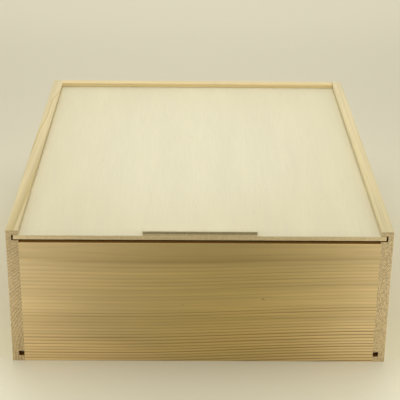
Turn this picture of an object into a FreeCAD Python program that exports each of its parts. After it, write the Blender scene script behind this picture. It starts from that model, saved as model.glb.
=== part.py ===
import FreeCAD, Part
import os

# Sliding lid wooden box, in millimetres.
# The origin is the middle of the underside. X runs to the right, Y to the back and Z up.
# The lid is drawn shut. It slides out towards the front, along -Y.

# Outside of the box
box_width = 280.0
box_depth = 345.0
box_height = 108.0

# Boards
side_thickness = 9.0
front_thickness = 9.0
back_thickness = 9.0
lid_thickness = 3.3
bottom_thickness = 3.3

# Groove that the lid slides in, cut in the sides and in the back
lip_height = 3.4
lid_groove_depth = 5.0
lid_gap_below = 0.3
lid_gap_above = 0.8
lid_gap_side = 1.3
lid_gap_back = 0.3

# Step from the floor of the lid's groove down to the top of the front
front_step = 1.2

# Groove that holds the bottom, cut in all four walls
bottom_edge_height = 4.4
bottom_groove_depth = 4.0
bottom_gap_above = 0.6
bottom_gap_end = 0.4

# Strip glued on the lid, to pull it by
grip_length = 82.5
grip_depth = 8.0
grip_height = 3.6

# Brads driven through the sides into the ends of the front and the back
brads_in_corner = 3
brad_length = 25.0
brad_diameter = 1.2
brad_head_diameter = 2.0
brad_head_thickness = 0.5
brad_point_length = 2.0
brad_sink = 0.3
brad_hole_gap = 0.05
brad_end_distance = 12.0

# Eased edges
board_edge_radius = 0.6
plywood_edge_radius = 0.3

# Places worked out from the sizes
half_width = box_width / 2
half_depth = box_depth / 2
inner_half_width = half_width - side_thickness
back_inner_face = half_depth - back_thickness
front_inner_face = front_thickness - half_depth

lid_groove_height = lid_gap_below + lid_thickness + lid_gap_above
lid_groove_floor = box_height - lip_height - lid_groove_height
lid_bottom = lid_groove_floor + lid_gap_below
lid_top = lid_bottom + lid_thickness
front_height = lid_groove_floor - front_step

bottom_groove_height = bottom_thickness + bottom_gap_above
bottom_groove_top = bottom_edge_height + bottom_groove_height


def block(x_low, x_high, y_low, y_high, z_low, z_high):
    """A rectangular block between two corners."""
    corner = FreeCAD.Vector(x_low, y_low, z_low)
    return Part.makeBox(x_high - x_low, y_high - y_low, z_high - z_low, corner)


def near(value, place):
    return abs(value - place) < 0.001


def ease_edges(solid, radius, wanted):
    """Round the straight edges whose two end points pass the test."""
    edges = []
    for edge in solid.Edges:
        start = edge.Vertexes[0].Point
        end = edge.Vertexes[-1].Point
        if wanted(start, end):
            edges.append(edge)
    return solid.makeFillet(radius, edges)


def brad(gap, mouth):
    """A brad along +X with its head at the origin, or its hole with a gap and an open mouth."""
    point_start = brad_length - brad_point_length
    head_radius = brad_head_diameter / 2 + gap
    shank_radius = brad_diameter / 2 + gap
    outline = [
        FreeCAD.Vector(-mouth, 0, 0),
        FreeCAD.Vector(-mouth, 0, head_radius),
        FreeCAD.Vector(brad_head_thickness, 0, head_radius),
        FreeCAD.Vector(brad_head_thickness, 0, shank_radius),
        FreeCAD.Vector(point_start, 0, shank_radius),
        FreeCAD.Vector(brad_length + gap, 0, 0),
        FreeCAD.Vector(-mouth, 0, 0),
    ]
    face = Part.Face(Part.makePolygon(outline))
    return face.revolve(FreeCAD.Vector(0, 0, 0), FreeCAD.Vector(1, 0, 0), 360)


def brad_heights():
    """Heights of the brads in a corner, evenly spaced between the grooves."""
    lowest = bottom_groove_top + brad_end_distance
    highest = front_height - brad_end_distance
    spacing = (highest - lowest) / (brads_in_corner - 1)
    return [lowest + row * spacing for row in range(brads_in_corner)]


def left_corner(shape, y):
    """Copies of a brad, or of its hole, at the heights of one left corner."""
    copies = []
    for z in brad_heights():
        copy = shape.copy()
        copy.translate(FreeCAD.Vector(brad_sink - half_width, y, z))
        copies.append(copy)
    return copies


def other_hand(shape):
    """The same shape on the right of the box."""
    return shape.mirror(FreeCAD.Vector(0, 0, 0), FreeCAD.Vector(1, 0, 0))


front_brad_line = front_thickness / 2 - half_depth
back_brad_line = half_depth - back_thickness / 2
brad_hole = brad(brad_hole_gap, brad_sink)
left_holes = left_corner(brad_hole, front_brad_line) + left_corner(brad_hole, back_brad_line)
all_holes = left_holes + [other_hand(hole) for hole in left_holes]


def left_side():
    """Full-depth side board. Both grooves run out through its two ends."""
    board = block(-half_width, -inner_half_width, -half_depth, half_depth, 0, box_height)

    def outside(start, end):
        outer_face = near(start.x, -half_width) or near(start.z, box_height)
        return outer_face and (near(end.x, -half_width) or near(end.z, box_height))

    board = ease_edges(board, board_edge_radius, outside)
    lid_groove = block(
        -inner_half_width - lid_groove_depth, -inner_half_width,
        -half_depth, half_depth,
        lid_groove_floor, lid_groove_floor + lid_groove_height)
    bottom_groove = block(
        -inner_half_width - bottom_groove_depth, -inner_half_width,
        -half_depth, half_depth,
        bottom_edge_height, bottom_groove_top)
    return board.cut([lid_groove, bottom_groove] + left_holes)


def cross_board(y_inner, y_outer, height):
    """Board between the sides, with its top edges and its lower outside edge rounded."""
    board = block(
        -inner_half_width, inner_half_width,
        min(y_inner, y_outer), max(y_inner, y_outer),
        0, height)

    def eased(start, end):
        from_side_to_side = not near(start.x, end.x)
        top = near(start.z, height)
        lower_outside = near(start.z, 0) and near(start.y, y_outer)
        return from_side_to_side and (top or lower_outside)

    return ease_edges(board, board_edge_radius, eased)


def cross_groove(y_one, y_other, z_low, z_high):
    """Groove from side to side, between two depths and two heights."""
    return block(
        -inner_half_width, inner_half_width,
        min(y_one, y_other), max(y_one, y_other),
        z_low, z_high)


def front_panel():
    """Front board, low enough for the lid to pass over it."""
    board = cross_board(front_inner_face, -half_depth, front_height)
    bottom_groove = cross_groove(
        front_inner_face, front_inner_face - bottom_groove_depth,
        bottom_edge_height, bottom_groove_top)
    return board.cut([bottom_groove] + all_holes)


def back_panel():
    """Full-height back board. The lid stops in its upper groove."""
    board = cross_board(back_inner_face, half_depth, box_height)
    lid_groove = cross_groove(
        back_inner_face, back_inner_face + lid_groove_depth,
        lid_groove_floor, lid_groove_floor + lid_groove_height)
    bottom_groove = cross_groove(
        back_inner_face, back_inner_face + bottom_groove_depth,
        bottom_edge_height, bottom_groove_top)
    return board.cut([lid_groove, bottom_groove] + all_holes)


def bottom_panel():
    """Plywood sheet held in the lower groove of all four walls."""
    reach = bottom_groove_depth - bottom_gap_end
    return block(
        -inner_half_width - reach, inner_half_width + reach,
        front_inner_face - reach, back_inner_face + reach,
        bottom_edge_height, bottom_edge_height + bottom_thickness)


def lid_panel():
    """Plywood sheet that slides in the upper groove, flush with the front when shut."""
    side_reach = lid_groove_depth - lid_gap_side
    back_reach = lid_groove_depth - lid_gap_back
    sheet = block(
        -inner_half_width - side_reach, inner_half_width + side_reach,
        -half_depth, back_inner_face + back_reach,
        lid_bottom, lid_top)

    def front_end(start, end):
        return near(start.y, -half_depth) and near(end.y, -half_depth)

    return ease_edges(sheet, plywood_edge_radius, front_end)


def lid_grip():
    """Strip glued on top of the lid, flush with the lid's front edge."""
    strip = block(
        -grip_length / 2, grip_length / 2,
        -half_depth, grip_depth - half_depth,
        lid_top, lid_top + grip_height)

    def upper_edge(start, end):
        grip_top = lid_top + grip_height
        return near(start.z, grip_top) and near(end.z, grip_top)

    return ease_edges(strip, plywood_edge_radius, upper_edge)


corner_brad = brad(0, 0)
front_left = Part.makeCompound(left_corner(corner_brad, front_brad_line))
back_left = Part.makeCompound(left_corner(corner_brad, back_brad_line))
left = left_side()

pieces = {
    "left_side": left,
    "right_side": other_hand(left),
    "front_panel": front_panel(),
    "back_panel": back_panel(),
    "bottom_panel": bottom_panel(),
    "lid_panel": lid_panel(),
    "lid_grip": lid_grip(),
    "front_left_brads": front_left,
    "front_right_brads": other_hand(front_left),
    "back_left_brads": back_left,
    "back_right_brads": other_hand(back_left),
}

os.makedirs("parts", exist_ok=True)
for name, piece in pieces.items():
    piece.exportStep("parts/" + name + ".step")
    print(name, "solids", len(piece.Solids), "volume", round(piece.Volume, 1), "valid", piece.isValid())
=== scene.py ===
import math

import bmesh
import bpy
from mathutils import Matrix, Vector


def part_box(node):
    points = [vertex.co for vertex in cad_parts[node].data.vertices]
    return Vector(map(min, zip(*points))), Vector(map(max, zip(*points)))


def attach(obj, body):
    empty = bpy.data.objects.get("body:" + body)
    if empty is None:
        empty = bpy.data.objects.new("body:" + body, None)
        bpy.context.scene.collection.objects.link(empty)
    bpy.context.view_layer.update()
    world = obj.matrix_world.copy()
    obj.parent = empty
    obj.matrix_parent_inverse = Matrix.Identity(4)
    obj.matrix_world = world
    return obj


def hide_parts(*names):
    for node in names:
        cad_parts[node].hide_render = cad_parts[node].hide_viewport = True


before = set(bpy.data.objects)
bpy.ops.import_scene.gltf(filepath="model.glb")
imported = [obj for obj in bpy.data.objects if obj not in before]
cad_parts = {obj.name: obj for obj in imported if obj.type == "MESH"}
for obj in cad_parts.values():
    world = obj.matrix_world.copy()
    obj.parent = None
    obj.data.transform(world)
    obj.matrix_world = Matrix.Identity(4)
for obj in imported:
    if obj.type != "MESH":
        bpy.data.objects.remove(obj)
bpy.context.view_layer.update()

MM = 0.001

# Camera, from the photograph's perspective
camera_place = (-8.9 * MM, -966.7 * MM, 481.9 * MM)
camera_down = math.radians(23.734)
camera_turn = math.radians(0.624)
camera_roll = math.radians(0.548)
sensor_width = 36.0
picture_width = 400
focal_pixels = 1220.9
nearest_sight = 0.01

# Light: name, place, aim, width, height and power. The paired ones stand on both sides
light_colour = (1, 0.98, 0.93)
middle_lights = (
    ("ceiling", (0, 0.02, 0.58), (0, 0.02, 0), 0.6, 0.4, 1.68),
    ("front_ceiling", (0, -0.35, 1.2), (0, -0.35, 0), 1.6, 0.5, 0.80),
    ("over_camera", (0, -0.90, 1.3), (0, 0, 0.1), 1.6, 0.6, 0.5),
    ("back_wall", (0, 0.90, 0.45), (0, 0, 0.1), 1.4, 0.8, 3.7),
)
paired_lights = (
    ("side_wall", (0.80, 0.15, 0.45), (0, 0.15, 0.1), 1.2, 0.8, 0.37),
    ("front_wing", (0.80, -0.50, 0.50), (0, 0, 0.1), 0.6, 0.6, 1.01),
    ("grazing_card", (0.45, -0.27, 0.20), (0, -0.27, 0.12), 0.2, 0.28, 0.10),
    ("corner_card", (0.20, -0.25, 0.05), (0.13, -0.1725, 0.10), 0.10, 0.06, 0.0607),
)
air_colour = (1.0, 0.96, 0.86, 1)
air_strength = 0.25

# Paper under the box
paper_size = 12
paper_middle = (0, 2, 0)
paper_cream = (0.82, 0.785, 0.623, 1)
paper_roughness = 0.9
paper_gloss = 0.1

# Places read from the frame
side_low, side_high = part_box("left_side")
front_low, front_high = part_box("front_panel")
back_low, back_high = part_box("back_panel")
lid_low, lid_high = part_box("lid_panel")
grip_low, grip_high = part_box("lid_grip")
bottom_low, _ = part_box("bottom_panel")
half_width = -side_low.x
inner_half_width = -side_high.x
front_face = side_low.y
back_face = side_high.y
rim = side_high.z

# Grooves in the boards
lip_height = 3.4 * MM
lid_groove_height = 4.4 * MM
lid_groove_depth = 5.0 * MM
lid_groove_top = rim - lip_height
lid_groove_floor = lid_groove_top - lid_groove_height
bottom_groove_height = 3.9 * MM
bottom_groove_depth = 4.0 * MM
bottom_groove_floor = bottom_low.z
bottom_groove_top = bottom_groove_floor + bottom_groove_height

# Brads and their holes
brads_in_corner = 3
brad_head_radius = 1.05 * MM
brad_shank_radius = 0.65 * MM
brad_head_seat = 0.8 * MM

# Sanding
arris_radius = 0.35 * MM
front_top_arris = 1.1 * MM
joint_arris = 0.15 * MM
groove_arris = 0.15 * MM
sheet_arris = 0.2 * MM

# Plywood
lid_face_ply = 0.9 * MM
grip_top_ply = 0.5 * MM
grip_lower_ply = 0.9 * MM
glue_line = 0.1 * MM
grip_glue = 0.25 * MM

# The thin sheet has warped in its groove: it lies against the lips at both ends, and sags between
lid_lift = 0.55 * MM
lid_sag = 0.15 * MM
lid_rows = 24

# The back board stops a hair short of the right side
open_joint = 0.35 * MM

# How far the router and the drill run past the wood, and how many sides a bored hole has
overcut = 1 * MM
bore_sides = 24

# Faces that meet at less than this are smoothed into a round
smooth_angle = math.radians(30)

# Places closer than this are the same place, and rows of points are told apart to these digits
same_place = 0.01 * MM
row_digits = 5

# A face that rises more than this looks up, and one that rises less than this is a side
looks_up = 0.6
side_rise = 0.5


# Camera and stage

def place_camera():
    """Camera at the photograph's viewing angle."""
    bpy.ops.object.camera_add(location=camera_place)
    camera = bpy.context.object
    turn = Matrix.Rotation(-camera_turn, 4, "Z")
    tip = Matrix.Rotation(math.pi / 2 - camera_down, 4, "X")
    roll = Matrix.Rotation(camera_roll, 4, "Z")
    camera.matrix_world = Matrix.Translation(camera_place) @ turn @ tip @ roll
    camera.data.sensor_width = sensor_width
    camera.data.lens = sensor_width * focal_pixels / picture_width
    camera.data.clip_start = nearest_sight
    bpy.context.scene.camera = camera


def lay_floor():
    """Plain cream paper under the box."""
    bpy.ops.mesh.primitive_plane_add(size=paper_size, location=paper_middle)
    floor = bpy.context.object
    floor.name = "paper_floor"
    material = bpy.data.materials.new("cream_paper")
    material.use_nodes = True
    shader = material.node_tree.nodes["Principled BSDF"]
    shader.inputs["Base Color"].default_value = paper_cream
    shader.inputs["Roughness"].default_value = paper_roughness
    shader.inputs["Specular IOR Level"].default_value = paper_gloss
    floor.data.materials.append(material)


def soft_light(name, place, target, width, height, power):
    """A rectangular diffuse light aimed at a point, itself out of sight."""
    bpy.ops.object.light_add(type="AREA", location=place)
    light = bpy.context.object
    light.name = name
    light.data.shape = "RECTANGLE"
    light.data.size = width
    light.data.size_y = height
    light.data.energy = power
    light.data.color = light_colour
    light.visible_camera = False
    aim = Vector(target) - Vector(place)
    light.rotation_euler = aim.to_track_quat("-Z", "Y").to_euler()


def light_studio():
    """Light tent open to the camera: soft ceiling and walls, and small cards at the front corners."""
    for light in middle_lights:
        soft_light(*light)
    for name, place, aim, width, height, power in paired_lights:
        for hand, side in (("left_", -1), ("right_", 1)):
            mirrored = (side, 1, 1)
            soft_light(
                hand + name,
                Vector(place) * Vector(mirrored),
                Vector(aim) * Vector(mirrored),
                width, height, power)
    world = bpy.data.worlds.new("studio_air")
    world.use_nodes = True
    background = world.node_tree.nodes["Background"]
    background.inputs["Color"].default_value = air_colour
    background.inputs["Strength"].default_value = air_strength
    bpy.context.scene.world = world
    bpy.context.scene.view_settings.view_transform = "Standard"


place_camera()
lay_floor()
light_studio()


# Finishes

# Growth: how dark the wood is through one year, the faintest year, and how uneven the years are
year_shades = ((0.0, 0.0), (0.4, 0.04), (0.66, 0.3), (0.84, 1.0), (0.93, 0.9), (1.0, 0.0))
faintest_year = 0.6
uneven_years = 1.3
uneven_scale = 40.0

# A seed moves the noises by these shares of itself along the axes
seed_shares = (1, 0.37, 0.61)
veneer_seed_shares = (1, 0.4, 0)

# Long grain turns to end grain while the face squares up to it over this span
end_grain_span = (0.6, 0.9)

# A painted highlight on the arris fades in while its normal rises over this span, and a knot is
# darkest up to its core
arris_highlight_span = (0.05, 0.25)
knot_core = 0.2

# Grains: how many clouds of noise go to a metre on each axis, the fewest along the fibres
wander_grain = (3, 12, 12)
fibre_grain = (30, 1500, 1500)
streak_grain = (7, 420, 420)
blotch_grain = (9, 40, 40)
pore_grain = (30, 800, 800)
torn_grain = (600, 600, 900)
veneer_figure_grain = (34, 4, 34)
veneer_fibre_grain = (1100, 40, 1100)
veneer_speck_grain = (260, 120, 260)
face_ply_grain = (90, 90, 2600)
core_ply_grain = (700, 700, 900)
glue_grain = (400, 400, 400)
wire_grain = (900, 2600, 2600)

# Spans of a noise that a soft step draws out: the wide one is soft, the narrow one is sharp
wide_span = (0.2, 0.8)
middle_span = (0.25, 0.75)
narrow_span = (0.3, 0.7)

# How far each grain darkens and lightens its wood
fibre_light = (0.95, 1.05)
streak_light = (0.93, 1.06)
blotch_light = (0.96, 1.04)
speckle_light = (0.84, 1.16)
veneer_fibre_light = (0.97, 1.02)

# Veneer yellows outwards and unevenly. Its reach grows by this much to a metre on each axis
yellow_reach = (7.4, 5.9, 0)
yellow_span = (0.6, 1.35)
yellow_unevenness = 0.5
yellow_scale = 9.0
speck_span = (0.80, 0.86)

# Sheens: roughness in the hollows of the grain and on its rises
pine_sheen = (0.52, 0.66)
routed_sheen = (0.75, 0.9)
veneer_sheen = (0.55, 0.68)
ply_sheen = (0.7, 0.85)
steel_sheen = (0.28, 0.5)

# Reliefs: how deep the grain goes, and what late wood and fibres add to it in pine
pine_relief = 0.06 * MM
late_wood_relief = 0.6
fibre_relief = 0.5
routed_relief = 0.12 * MM
veneer_relief = 0.03 * MM
ply_relief = 0.05 * MM
steel_relief = 0.02 * MM

# Colours of small marks, of cut wood darkened as painted shade, and of wire
knot_brown = (0.20, 0.11, 0.045, 1)
speck_brown = (0.45, 0.36, 0.22, 1)
# dark cut wood: its darkness is painted shade in grooves, bores and under the lid
routed_shade_dark = (0.20, 0.09, 0.008, 1)
routed_shade_pale = (0.31, 0.165, 0.035, 1)
steel_dark = (0.42, 0.42, 0.41, 1)
steel_light = (0.62, 0.62, 0.60, 1)


class Finish:
    """The shader nodes of one material, added and wired by short calls."""

    def __init__(self, name):
        self.material = bpy.data.materials.new(name)
        self.material.use_nodes = True
        self.tree = self.material.node_tree
        self.shader = self.tree.nodes["Principled BSDF"]

    def add(self, kind, settings=None, **inputs):
        """A node with settings and inputs. An input named in_0 is the first one."""
        node = self.tree.nodes.new(kind)
        for name, value in (settings or {}).items():
            setattr(node, name, value)
        for name, value in inputs.items():
            key = int(name[3:]) if name.startswith("in_") else name.replace("_", " ")
            self.feed(node.inputs[key], value)
        return node

    def feed(self, socket, value):
        """Link an output to a socket, or set the socket's own value."""
        if isinstance(value, bpy.types.NodeSocket):
            self.tree.links.new(value, socket)
        else:
            socket.default_value = value

    def calc(self, operation, first, second=0.0):
        """Arithmetic on numbers."""
        settings = {"operation": operation}
        return self.add("ShaderNodeMath", settings, in_0=first, in_1=second).outputs[0]

    def vector(self, operation, first, second=(0, 0, 0)):
        """Arithmetic on places and directions."""
        settings = {"operation": operation}
        node = self.add("ShaderNodeVectorMath", settings, in_0=first, in_1=second)
        return node.outputs["Value" if operation in ("LENGTH", "DOT_PRODUCT") else "Vector"]

    def mix(self, factor, first, second, blend="MIX"):
        """Blend two colours."""
        settings = {"data_type": "RGBA", "blend_type": blend}
        return self.add("ShaderNodeMix", settings, in_0=factor, in_6=first, in_7=second).outputs[2]

    def noise(self, place, detail, scale=1.0, roughness=0.5):
        """Cloudy noise at a place, of about one cloud to a metre at scale 1."""
        return self.add(
            "ShaderNodeTexNoise", Vector=place, Scale=scale, Detail=detail, Roughness=roughness)

    def grain(self, place, clouds, detail, roughness=0.5):
        """Noise drawn out along the axes, with its number of clouds to a metre on each."""
        stretched = self.vector("MULTIPLY", place, clouds)
        return self.noise(stretched, detail, roughness=roughness).outputs[0]

    def noise_line(self, value, scale):
        """Noise along one number."""
        settings = {"noise_dimensions": "1D"}
        return self.add("ShaderNodeTexNoise", settings, W=value, Scale=scale, Detail=1.0).outputs[0]

    def smooth_step(self, value, start, end, low=0.0, high=1.0):
        """A soft step from low to high while the value runs from start to end."""
        settings = {"interpolation_type": "SMOOTHSTEP"}
        node = self.add(
            "ShaderNodeMapRange", settings, in_0=value, in_1=start, in_2=end, in_3=low, in_4=high)
        return node.outputs[0]

    def curve(self, value, stops):
        """A curve through (place, height) stops."""
        start = stops[0][0]
        span = stops[-1][0] - start
        low = min(height for _, height in stops)
        rise = max(height for _, height in stops) - low
        share = self.calc("DIVIDE", self.calc("SUBTRACT", value, start), span)
        node = self.add("ShaderNodeValToRGB", in_0=share)
        points = node.color_ramp.elements
        halfway = 0.5
        while len(points) < len(stops):
            points.new(halfway)
        for point, (place, height) in zip(points, stops):
            level = (height - low) / rise
            point.position = (place - start) / span
            point.color = (level, level, level, 1)
        return self.calc("ADD", self.calc("MULTIPLY", node.outputs[0], rise), low)

    def shade(self, colour, light):
        """A colour made darker or lighter by a factor."""
        grey = self.add("ShaderNodeCombineColor", in_0=light, in_1=light, in_2=light).outputs[0]
        return self.mix(1.0, colour, grey, "MULTIPLY")

    def wear_colour(self, colour, texture, sheen, height, depth):
        """Wire colour, roughness and relief into the shader. The roughness follows the texture."""
        roughness = self.smooth_step(texture, *wide_span, *sheen)
        bump = self.add("ShaderNodeBump", Strength=1.0, Distance=depth, Height=height)
        self.feed(self.shader.inputs["Base Color"], colour)
        self.feed(self.shader.inputs["Roughness"], roughness)
        self.feed(self.shader.inputs["Normal"], bump.outputs[0])


def tree(finish, board):
    """Where a point lies in the tree that the board was sawn from.

    Gives the object coordinates, the normal, a seeded place for noises, the distance along the
    grain, the distance from the heart, and how squarely the face cuts across the grain."""
    coordinates = finish.add("ShaderNodeTexCoord")
    place = coordinates.outputs["Object"]
    across, up = board["heart"]
    upright = board["grain"] == "Y"
    shift = (0, across, -up) if upright else (0, -across, -up)
    turn = (0, 0, -math.pi / 2) if upright else (0, 0, 0)
    log = finish.add("ShaderNodeMapping", Vector=place, Location=shift, Rotation=turn).outputs[0]
    parts = finish.add("ShaderNodeSeparateXYZ", Vector=log)
    along = parts.outputs["X"]

    # the trunk leans or sways, and climbs, a little along the board
    if "sway" in board:
        stops = [(distance * MM, off * MM) for distance, off in board["sway"]]
        sideways = finish.curve(along, stops)
    else:
        bend = finish.calc("MULTIPLY", along, board.get("bend", 0.0))
        sideways = finish.calc("MULTIPLY", along, finish.calc("ADD", bend, board.get("lean", 0.0)))
    climb = 0.0
    if "climb" in board:
        start, end, height = board["climb"]
        climb = finish.smooth_step(along, start, end, 0.0, -height)
    trunk = finish.add("ShaderNodeCombineXYZ", X=0.0, Y=sideways, Z=climb).outputs[0]
    seeded = finish.vector("ADD", log, tuple(board["seed"] * share for share in seed_shares))
    slow = finish.noise(finish.vector("MULTIPLY", seeded, wander_grain), detail=2.0)
    wander = finish.vector("SUBTRACT", slow.outputs["Color"], (0.5, 0.5, 0.5))
    wander = finish.vector("MULTIPLY", wander, (0, board["wander"], board["wander"]))
    flat = finish.vector("ADD", finish.vector("ADD", log, wander), trunk)
    radius = finish.vector("LENGTH", finish.vector("MULTIPLY", flat, (0, 1, 1)))

    axis = (0, 1, 0) if upright else (1, 0, 0)
    normal = coordinates.outputs["Normal"]
    facing = finish.vector("DOT_PRODUCT", normal, axis)
    end_grain = finish.smooth_step(finish.calc("ABSOLUTE", facing), *end_grain_span)
    return place, normal, seeded, along, radius, end_grain


def growth_rings(finish, along, radius, board):
    """Late wood, from 0 to 1: pale spring wood that darkens slowly and ends sharply."""
    years = finish.calc("DIVIDE", radius, board["ring"])
    uneven = finish.calc("MULTIPLY", finish.noise_line(radius, uneven_scale), uneven_years)
    years = finish.calc("ADD", years, uneven)
    season = finish.calc("FRACT", years)
    late_wood = finish.curve(season, year_shades)
    year = finish.calc("FLOOR", years)
    luck = finish.add("ShaderNodeTexWhiteNoise", {"noise_dimensions": "1D"}, W=year).outputs[0]
    strength = finish.smooth_step(luck, 0.0, 1.0, faintest_year, 1.0)
    late_wood = finish.calc("MULTIPLY", late_wood, strength)

    # some groups of years show more than others
    stops = [(distance * MM, strength) for distance, strength in board["bold"]]
    late_wood = finish.calc("MULTIPLY", late_wood, finish.curve(radius, stops))
    if "bolder" in board:
        start, end, gain = board["bolder"]
        gained = finish.smooth_step(along, start, end, 1.0, gain)
        late_wood = finish.calc("MULTIPLY", late_wood, gained)
    return late_wood


def pine(name, board):
    """Planed pine. Its growth rings run through the board, so faces and end grain agree.

    grain is the axis along the fibres, and heart is the middle of the tree, across the board and up.
    ring is the width of a year, wander is how far the rings stray, and seed moves the noises.
    sway, or else lean and bend, moves the heart sideways along the board, and climb lifts it.
    bold is how boldly the years show at a distance from the heart, and bolder is a start, an end
    and a gain along the board. dark_years have a start, a darkest place, an end and a depth.
    Tinted patches are each a centre, a size and a tint: some are the wood's own tone, and others are
    painted shade and painted light. knots are each a centre, a size and a depth. The arris gain is a
    painted highlight: how much paler the faces that look up are made. early and late are the colours
    of spring and late wood, also of the end grain, where pores have a darkest and a lightest shade.
    Stops of sway, bold and dark_years are in millimetres, and all other places in metres."""
    finish = Finish(name)
    place, normal, seeded, along, radius, end_grain = tree(finish, board)
    rings = growth_rings(finish, along, radius, board)

    # fibres: long streaks on the faces, specks on the end grain
    fine = finish.grain(seeded, fibre_grain, detail=2.0)
    streaks = finish.grain(seeded, streak_grain, detail=3.0)
    blotches = finish.grain(seeded, blotch_grain, detail=2.0)

    colour = finish.mix(rings, board["early"], board["late"])
    for start, darkest, end, depth in board.get("dark_years", ()):
        stops = ((start * MM, 0.0), (darkest * MM, depth), (end * MM, 0.0))
        colour = finish.mix(finish.curve(radius, stops), colour, board["late"])
    # tinted patches: the wood's own tone, and painted shade and painted light
    for centre, size, tone in board.get("tone_and_light_patches", ()):
        off = finish.vector("DIVIDE", finish.vector("SUBTRACT", place, centre), size)
        patch_colour = finish.mix(1.0, colour, tone, "MULTIPLY")
        inside = finish.smooth_step(finish.vector("LENGTH", off), 1.0, 0.0)
        colour = finish.mix(inside, colour, patch_colour)
    light = finish.smooth_step(streaks, *middle_span, *streak_light)
    light = finish.calc("MULTIPLY", light, finish.smooth_step(fine, *wide_span, *fibre_light))
    light = finish.calc("MULTIPLY", light, finish.smooth_step(blotches, *middle_span, *blotch_light))
    colour = finish.shade(colour, light)
    for knot in board.get("knots", ()):
        colour = pin_knot(finish, place, colour, *knot)
    # painted highlight: faces of the board that look up are made paler, where light from above
    # catches the top arris
    if "painted_arris_highlight" in board:
        upward = finish.vector("DOT_PRODUCT", normal, (0, 0, 1))
        gain = board["painted_arris_highlight"]
        highlighted = finish.mix(1.0, colour, (gain, gain, gain, 1), "MULTIPLY")
        colour = finish.mix(finish.smooth_step(upward, *arris_highlight_span), colour, highlighted)

    end_colour = finish.mix(rings, board["end_early"], board["end_late"])
    speckle = finish.smooth_step(fine, *middle_span, *speckle_light)
    pores = finish.grain(seeded, pore_grain, detail=1.0)
    pore_light = finish.smooth_step(pores, *narrow_span, *board["pores"])
    speckle = finish.calc("MULTIPLY", speckle, pore_light)
    end_colour = finish.shade(end_colour, speckle)
    colour = finish.mix(end_grain, colour, end_colour)

    ridges = finish.calc("MULTIPLY", rings, late_wood_relief)
    relief = finish.calc("ADD", ridges, finish.calc("MULTIPLY", fine, fibre_relief))
    finish.wear_colour(colour, fine, pine_sheen, relief, pine_relief)
    return finish.material


def routed_wood_and_shade():
    """The rougher wood that the router, the saw and the drill leave, darkened as painted shade for
    grooves, bores and the front's top under the lid.
    """
    finish = Finish("routed_wood_and_shade")
    coordinates = finish.add("ShaderNodeTexCoord").outputs["Object"]
    torn = finish.grain(coordinates, torn_grain, detail=3.0)
    colour = finish.mix(torn, routed_shade_dark, routed_shade_pale)
    finish.wear_colour(colour, torn, routed_sheen, torn, routed_relief)
    return finish.material


def pin_knot(finish, place, colour, centre, size, depth):
    """A pin knot: a small brown oval in the face."""
    from_knot = finish.vector("SUBTRACT", place, centre)
    scaled = finish.vector("MULTIPLY", from_knot, tuple(1 / length for length in size))
    spot = finish.smooth_step(finish.vector("LENGTH", scaled), 1.0, knot_core, 0.0, depth)
    return finish.mix(spot, colour, knot_brown)


def veneer(name, colour, edge_colour, seed, contrast, specks):
    """Pale rotary-cut veneer with hardly any figure, a little yellower toward its edges."""
    finish = Finish(name)
    coordinates = finish.add("ShaderNodeTexCoord").outputs["Object"]
    seeded = finish.vector("ADD", coordinates, tuple(seed * share for share in veneer_seed_shares))
    reach = finish.vector("LENGTH", finish.vector("MULTIPLY", coordinates, yellow_reach))
    slow = finish.noise(seeded, detail=1.0, scale=yellow_scale).outputs[0]
    reach = finish.calc("ADD", reach, finish.calc("MULTIPLY", slow, yellow_unevenness))
    base = finish.mix(finish.smooth_step(reach, *yellow_span), colour, edge_colour)
    figure = finish.grain(seeded, veneer_figure_grain, detail=3.0, roughness=0.6)
    fibres = finish.grain(seeded, veneer_fibre_grain, detail=2.0)
    light = finish.smooth_step(figure, *middle_span, 1 - contrast, 1 + contrast)
    fibre_shade = finish.smooth_step(fibres, *wide_span, *veneer_fibre_light)
    light = finish.calc("MULTIPLY", light, fibre_shade)
    colour = finish.shade(base, light)
    dots = finish.grain(seeded, veneer_speck_grain, detail=0.0)
    speck = finish.smooth_step(dots, *speck_span, 0.0, specks)
    colour = finish.mix(speck, colour, speck_brown)
    finish.wear_colour(colour, fibres, veneer_sheen, fibres, veneer_relief)
    return finish.material


def ply_edge(name, colour, grain, contrast):
    """The sawn edge of one ply."""
    finish = Finish(name)
    coordinates = finish.add("ShaderNodeTexCoord").outputs["Object"]
    texture = finish.grain(coordinates, grain, detail=3.0)
    light = finish.smooth_step(texture, *middle_span, 1 - contrast, 1 + contrast)
    finish.wear_colour(finish.shade(colour, light), texture, ply_sheen, texture, ply_relief)
    return finish.material


def brad_steel():
    """Drawn wire, with the marks of the grips and a dull punched head."""
    finish = Finish("brad_steel")
    coordinates = finish.add("ShaderNodeTexCoord").outputs["Object"]
    marks = finish.grain(coordinates, wire_grain, detail=3.0)
    colour = finish.mix(marks, steel_dark, steel_light)
    finish.shader.inputs["Metallic"].default_value = 1.0
    finish.wear_colour(colour, marks, steel_sheen, marks, steel_relief)
    return finish.material


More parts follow.
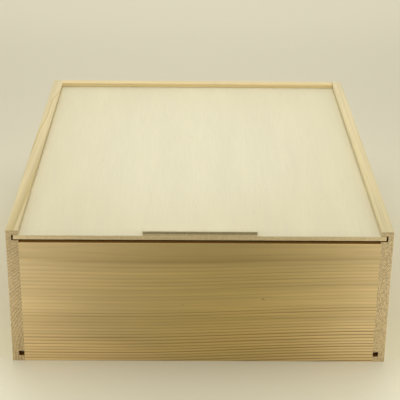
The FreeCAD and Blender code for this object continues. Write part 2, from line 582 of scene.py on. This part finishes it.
# Boards and sheets: the wood of each
left_pine = pine("left_pine", {
    "grain": "Y", "heart": (-0.075, 0.003), "ring": 2.1 * MM, "seed": 3.1, "wander": 2 * MM,
    "sway": (
        (-173, -7.2), (-119, -4.8), (-90, -3.5), (0, 0.6), (37, 1.4), (55, 3.0), (73, 4.1),
        (115, 4.5), (135, 7.9), (153, 10.9), (173, 12.5),
    ),
    "dark_years": ((122.9, 123.5, 123.9, 0.8), (117.2, 117.7, 120.2, 0.7)),
    "bold": ((50, 0.9), (105, 0.9), (114, 0.35), (120, 0.2), (128, 0.15)),
    "early": (0.70, 0.59, 0.33, 1), "late": (0.50, 0.38, 0.12, 1),
    "end_early": (0.52, 0.392, 0.202, 1), "end_late": (0.28, 0.19, 0.085, 1), "pores": (0.85, 1.15),
})
right_pine = pine("right_pine", {
    "grain": "Y", "heart": (0.170, 0.058), "ring": 1.3 * MM, "seed": 8.4, "wander": 1.5 * MM,
    "bold": ((20, 0.9), (45, 0.8), (54, 0.5), (70, 0.5)),
    "early": (0.73, 0.625, 0.35, 1), "late": (0.60, 0.485, 0.24, 1),
    "end_early": (0.572, 0.44, 0.23, 1), "end_late": (0.30, 0.205, 0.095, 1), "pores": (0.78, 1.22),
})
front_pine = pine("front_pine", {
    "grain": "X", "heart": (front_face - 0.020, 0.096), "ring": 2.45 * MM, "seed": 1.7,
    "wander": 1.5 * MM, "lean": -0.015, "bend": 0.026, "climb": (-0.07, 0.14, 7.0 * MM),
    "bold": (
        (18, 0.08), (25, 0.10), (28, 0.30), (41, 0.34), (43.5, 0.12), (47, 0.24), (52, 0.24),
        (55, 0.14), (58, 0.4), (60.5, 0.8), (63, 0.4), (68, 0.45), (73, 0.5), (78, 0.7),
        (80, 1.0), (84, 1.0), (86, 0.6), (89, 0.8), (92, 0.9), (98, 1.0),
    ),
    "dark_years": (
        (22.0, 24.6, 26.2, 0.26), (41.2, 43.4, 45.5, 0.14), (62.0, 66.5, 71.0, 0.2),
    ),
    # painted highlight along the top arris
    "painted_arris_highlight": 1.5,
    "bolder": (-0.03, 0.12, 1.35),
    # Tinted patches: the wood's own tone, painted shade and painted light
    "tone_and_light_patches": (
        # darker, yellower middle: heartwood tone, deepened as painted shade where the middle gets
        # less light
        ((0.02, front_face, 0.055), (0.16, 1, 0.17), (0.93, 0.90, 0.64, 1)),
        # painted shade along the top, under the lid
        ((0.01, front_face, 0.097), (0.20, 1, 0.035), (0.77, 0.77, 0.77, 1)),
        # painted shade across the middle
        ((-0.03, front_face, 0.053), (0.22, 1, 0.040), (0.92, 0.92, 0.92, 1)),
        # slightly yellower at the bottom middle
        ((0.02, front_face, 0.012), (0.13, 1, 0.045), (1.0, 0.99, 0.94, 1)),
        # painted light at the lower left corner
        ((-0.10, front_face, 0.0), (0.10, 1, 0.030), (1.15, 1.14, 1.15, 1)),
        # painted light, bluish, at the lower right corner
        ((0.12, front_face, 0.015), (0.06, 1, 0.040), (1.17, 1.19, 1.32, 1)),
    ),
    "knots": (
        ((47 * MM, front_face, 53 * MM), (1.6 * MM, 6 * MM, 1.0 * MM), 0.6),
        ((-12.5 * MM, front_face, 48 * MM), (2.2 * MM, 6 * MM, 1.2 * MM), 0.2),
    ),
    "early": (0.66, 0.495, 0.238, 1), "late": (0.25, 0.135, 0.03, 1),
    "end_early": (0.50, 0.385, 0.205, 1), "end_late": (0.24, 0.16, 0.07, 1), "pores": (0.9, 1.1),
})
back_pine = pine("back_pine", {
    "grain": "X", "heart": (back_face + 0.050, 0.020), "ring": 2.0 * MM, "seed": 5.9,
    "wander": 4 * MM, "lean": 0.006, "bold": ((30, 0.8), (60, 0.6), (110, 0.5)),
    "early": (0.83, 0.668, 0.345, 1), "late": (0.66, 0.49, 0.20, 1),
    "end_early": (0.53, 0.41, 0.22, 1), "end_late": (0.26, 0.18, 0.08, 1), "pores": (0.9, 1.1),
})
# rough cut wood, darkened as painted shade in grooves, bores and the gap under the lid
routed_and_shade = routed_wood_and_shade()

lid_veneer = veneer(
    "lid_veneer", (0.752, 0.71, 0.515, 1), edge_colour=(0.752, 0.70, 0.485, 1), seed=0.0,
    contrast=0.03, specks=0.12)
bottom_veneer = veneer(
    "bottom_veneer", (0.80, 0.72, 0.53, 1), edge_colour=(0.77, 0.68, 0.47, 1), seed=2.3,
    contrast=0.06, specks=0.3)
outer_ply_edge = ply_edge("outer_ply_edge", (0.74, 0.61, 0.36, 1), face_ply_grain, contrast=0.10)
core_ply_edge = ply_edge("core_ply_edge", (0.72, 0.575, 0.315, 1), core_ply_grain, contrast=0.14)
grip_core_edge = ply_edge("grip_core_edge", (0.33, 0.285, 0.16, 1), core_ply_grain, contrast=0.16)
glue_edge = ply_edge("glue_edge", (0.40, 0.30, 0.15, 1), glue_grain, contrast=0.2)


# Bench work: the moves that shape every wooden piece

def deselect_everything():
    """Nothing stays selected from the step before."""
    bpy.ops.object.select_all(action="DESELECT")


def hold(piece):
    """Make a piece the only selected and active one."""
    deselect_everything()
    piece.select_set(True)
    bpy.context.view_layer.objects.active = piece


def saw_block(name, corner, opposite, material):
    """A block of wood between two corners, in any order."""
    deselect_everything()
    low = Vector(min(a, b) for a, b in zip(corner, opposite))
    high = Vector(max(a, b) for a, b in zip(corner, opposite))
    bpy.ops.mesh.primitive_cube_add(size=1, location=(low + high) / 2, scale=high - low)
    bpy.ops.object.transform_apply(location=True, rotation=True, scale=True)
    block = bpy.context.object
    block.name = name
    block.data.name = name
    block.data.materials.append(material)
    return block


def near(value, place):
    """Whether two places are the same but for rounding."""
    return abs(value - place) < same_place


def runs_along(axis, start, end):
    """Whether an edge runs along an axis."""
    return all(near(start[i], end[i]) for i in range(3) if i != axis)


def sand_edges(piece, radius, wanted, segments=3):
    """Round the arrises whose two end points pass the test."""
    hold(piece)
    bpy.ops.object.mode_set(mode="EDIT")
    bpy.ops.mesh.select_mode(type="EDGE")
    bpy.ops.mesh.select_all(action="DESELECT")
    mesh = bmesh.from_edit_mesh(piece.data)
    for edge in mesh.edges:
        start, end = edge.verts
        edge.select_set(wanted(start.co, end.co))
    bmesh.update_edit_mesh(piece.data)
    bpy.ops.mesh.bevel(offset=radius, segments=segments, affect="EDGES")
    bpy.ops.object.mode_set(mode="OBJECT")


def cut_away(piece, cutter):
    """Take the cutter's shape and material out of a piece and throw the cutter away."""
    hold(piece)
    cut = piece.modifiers.new("cut", "BOOLEAN")
    cut.operation = "DIFFERENCE"
    cut.solver = "EXACT"
    cut.material_mode = "TRANSFER"
    cut.object = cutter
    bpy.ops.object.modifier_apply(modifier=cut.name)
    bpy.data.objects.remove(cutter)


def finish_piece(piece, body, cad_node):
    """Smooth the rounded arrises, then give the piece its place in the frame."""
    hold(piece)
    bpy.ops.object.shade_smooth_by_angle(angle=smooth_angle)
    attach(piece, body)
    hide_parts(cad_node)


# Boards

lid_groove = (lid_groove_depth, lid_groove_floor, lid_groove_top)
bottom_groove = (bottom_groove_depth, bottom_groove_floor, bottom_groove_top)


def brad_places(corner):
    """Where the brads of a corner enter the side board."""
    low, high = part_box(corner + "_brads")
    head_radius = (high.y - low.y) / 2
    lowest = low.z + head_radius
    spacing = (high.z - low.z - 2 * head_radius) / (brads_in_corner - 1)
    return [((low.y + high.y) / 2, lowest + row * spacing) for row in range(brads_in_corner)]


def drill(board, radius, x_start, x_end, y, z):
    """Bore a hole from side to side into a board."""
    deselect_everything()
    bpy.ops.mesh.primitive_cylinder_add(
        vertices=bore_sides,
        radius=radius,
        depth=abs(x_end - x_start),
        location=((x_start + x_end) / 2, y, z),
        rotation=(0, math.pi / 2, 0))
    bit = bpy.context.object
    # the bore's walls take the dark cut wood, painted shade in the hole
    bit.data.materials.append(routed_and_shade)
    cut_away(board, bit)


def side_board(hand, out, material):
    """Full-depth board with two grooves that run out through its ends.

    out is -1 at the left and 1 at the right."""
    outer = out * half_width
    inner = out * inner_half_width
    board = saw_block(hand + "_board", (outer, front_face, 0), (inner, back_face, rim), material)

    def shows(start, end):
        outside = near(start.x, outer) and near(end.x, outer)
        top = near(start.z, rim) and near(end.z, rim)
        return outside or top

    sand_edges(board, arris_radius, shows)
    # the groove walls take the dark cut wood, painted shade in the grooves
    for depth, floor, top in (lid_groove, bottom_groove):
        router = saw_block(
            "router",
            (inner - out * overcut, front_face - overcut, floor),
            (inner + out * depth, back_face + overcut, top),
            routed_and_shade)
        cut_away(board, router)

    def groove_mouth(start, end):
        levels = lid_groove[1:] + bottom_groove[1:]
        at_mouth = near(start.x, inner) and any(near(start.z, level) for level in levels)
        return at_mouth and runs_along(1, start, end)

    sand_edges(board, groove_arris, groove_mouth, segments=2)
    seat = outer - out * brad_head_seat
    for end in ("front", "back"):
        for y, z in brad_places(end + "_" + hand):
            drill(board, brad_head_radius, outer + out * overcut, seat, y, z)
            drill(board, brad_shank_radius, seat + out * overcut / 2, inner - out * overcut, y, z)
    finish_piece(board, "box", hand + "_side")


def cross_board(end, outer, inner, height, grooves, material, short=0.0):
    """Board between the sides, with its grooves in its inner face."""
    left_foot = (-inner_half_width, outer, 0)
    board = saw_block(end + "_board", left_foot, (inner_half_width - short, inner, height), material)

    def top(start, end):
        return runs_along(0, start, end) and near(start.z, height)

    def foot(start, end):
        return runs_along(0, start, end) and near(start.z, 0) and near(start.y, outer)

    sand_edges(board, front_top_arris if end == "front" else arris_radius, top)
    sand_edges(board, arris_radius, foot)

    def end_arris(start, end):
        return runs_along(2, start, end) and near(start.y, outer)

    sand_edges(board, joint_arris, end_arris, segments=2)
    out = math.copysign(1, outer)
    # the groove walls take the dark cut wood, painted shade in the grooves
    for depth, floor, top in grooves:
        router = saw_block(
            "router",
            (-inner_half_width - overcut, inner - out * overcut, floor),
            (inner_half_width + overcut, inner + out * depth, top),
            routed_and_shade)
        cut_away(board, router)

    # the front's top, under the lid, takes the dark cut wood down to the middle of its round: painted
    # shade in the gap under the lid
    if end == "front":
        for face in board.data.polygons:
            if face.normal.z > looks_up and face.center.z > height - front_top_arris:
                face.material_index = board.data.materials.find(routed_and_shade.name)
    finish_piece(board, "box", end + "_panel")


side_board("left", -1, left_pine)
side_board("right", 1, right_pine)
cross_board("front", front_low.y, front_high.y, front_high.z, [bottom_groove], front_pine)
both_grooves = [lid_groove, bottom_groove]
cross_board("back", back_high.y, back_low.y, back_high.z, both_grooves, back_pine, open_joint)


# Plywood

def score(sheet, axis, places):
    """Cut lines right round a piece, square to an axis, without parting it."""
    hold(sheet)
    bpy.ops.object.mode_set(mode="EDIT")
    normal = [0, 0, 0]
    normal[axis] = 1
    for place in places:
        point = [0, 0, 0]
        point[axis] = place
        bpy.ops.mesh.select_all(action="SELECT")
        bpy.ops.mesh.bisect(plane_co=point, plane_no=normal)
    bpy.ops.object.mode_set(mode="OBJECT")


def stack_plies(sheet, plies, base):
    """Score a piece's edges at its glue lines, and give each ply's edge its own material.

    plies is a list of (thickness, material) from the bottom up."""
    heights = [base]
    for thickness, _ in plies:
        heights.append(heights[-1] + thickness)
    score(sheet, 2, heights[1:-1])
    for slot, (_, material) in enumerate(plies, start=1):
        sheet.data.materials.append(material)
        for face in sheet.data.polygons:
            on_edge = abs(face.normal.z) < side_rise
            if on_edge and heights[slot - 1] < face.center.z < heights[slot]:
                face.material_index = slot


def lid_warp(y):
    """How far the warped lid stands above its flat place at some y."""
    share = (y - lid_low.y) / (lid_high.y - lid_low.y)
    return lid_lift - lid_sag * 4 * share * (1 - share)


def warp(piece):
    """Lift the piece row by row to its warped shape."""
    hold(piece)
    rows = sorted({round(vertex.co.y, row_digits) for vertex in piece.data.vertices})
    bpy.ops.object.mode_set(mode="EDIT")
    bpy.ops.mesh.select_mode(type="VERT")
    for row in rows:
        bpy.ops.mesh.select_all(action="DESELECT")
        mesh = bmesh.from_edit_mesh(piece.data)
        for vertex in mesh.verts:
            vertex.select_set(near(vertex.co.y, row))
        bmesh.update_edit_mesh(piece.data)
        bpy.ops.transform.translate(value=(0, 0, lid_warp(row)))
    bpy.ops.object.mode_set(mode="OBJECT")


def level_edge(start, end):
    """An edge of a sheet's top or bottom face."""
    return near(start.z, end.z)


def lid_sheet():
    """Three-ply sheet that slides in the groove."""
    sheet = saw_block("lid_sheet", lid_low, lid_high, lid_veneer)
    sand_edges(sheet, sheet_arris, level_edge, segments=2)
    core = lid_high.z - lid_low.z - 2 * lid_face_ply - 2 * glue_line
    stack_plies(sheet, [
        (lid_face_ply, outer_ply_edge),
        (glue_line, glue_edge),
        (core, core_ply_edge),
        (glue_line, glue_edge),
        (lid_face_ply, outer_ply_edge),
    ], lid_low.z)
    length = lid_high.y - lid_low.y
    score(sheet, 1, [lid_low.y + length * row / lid_rows for row in range(1, lid_rows)])
    warp(sheet)
    finish_piece(sheet, "lid", "lid_panel")


def grip_strip():
    """Plywood strip glued on the lid's front edge."""
    strip = saw_block("grip_strip", grip_low, grip_high, lid_veneer)

    def upper(start, end):
        return near(start.z, grip_high.z) and near(end.z, grip_high.z)

    sand_edges(strip, sheet_arris, upper, segments=2)
    core = grip_high.z - grip_low.z - grip_glue - grip_lower_ply - glue_line - grip_top_ply
    stack_plies(strip, [
        (grip_glue, glue_edge),
        (grip_lower_ply, core_ply_edge),
        (glue_line, glue_edge),
        (core, grip_core_edge),
        (grip_top_ply, outer_ply_edge),
    ], grip_low.z)
    warp(strip)
    finish_piece(strip, "lid", "lid_grip")


lid_sheet()
grip_strip()


# Pieces kept from the frame

def dress(node, material):
    """Give a CAD node its finish."""
    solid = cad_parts[node]
    solid.data.materials.clear()
    solid.data.materials.append(material)


dress("bottom_panel", bottom_veneer)
steel = brad_steel()
for corner in ("front_left", "front_right", "back_left", "back_right"):
    dress(corner + "_brads", steel)
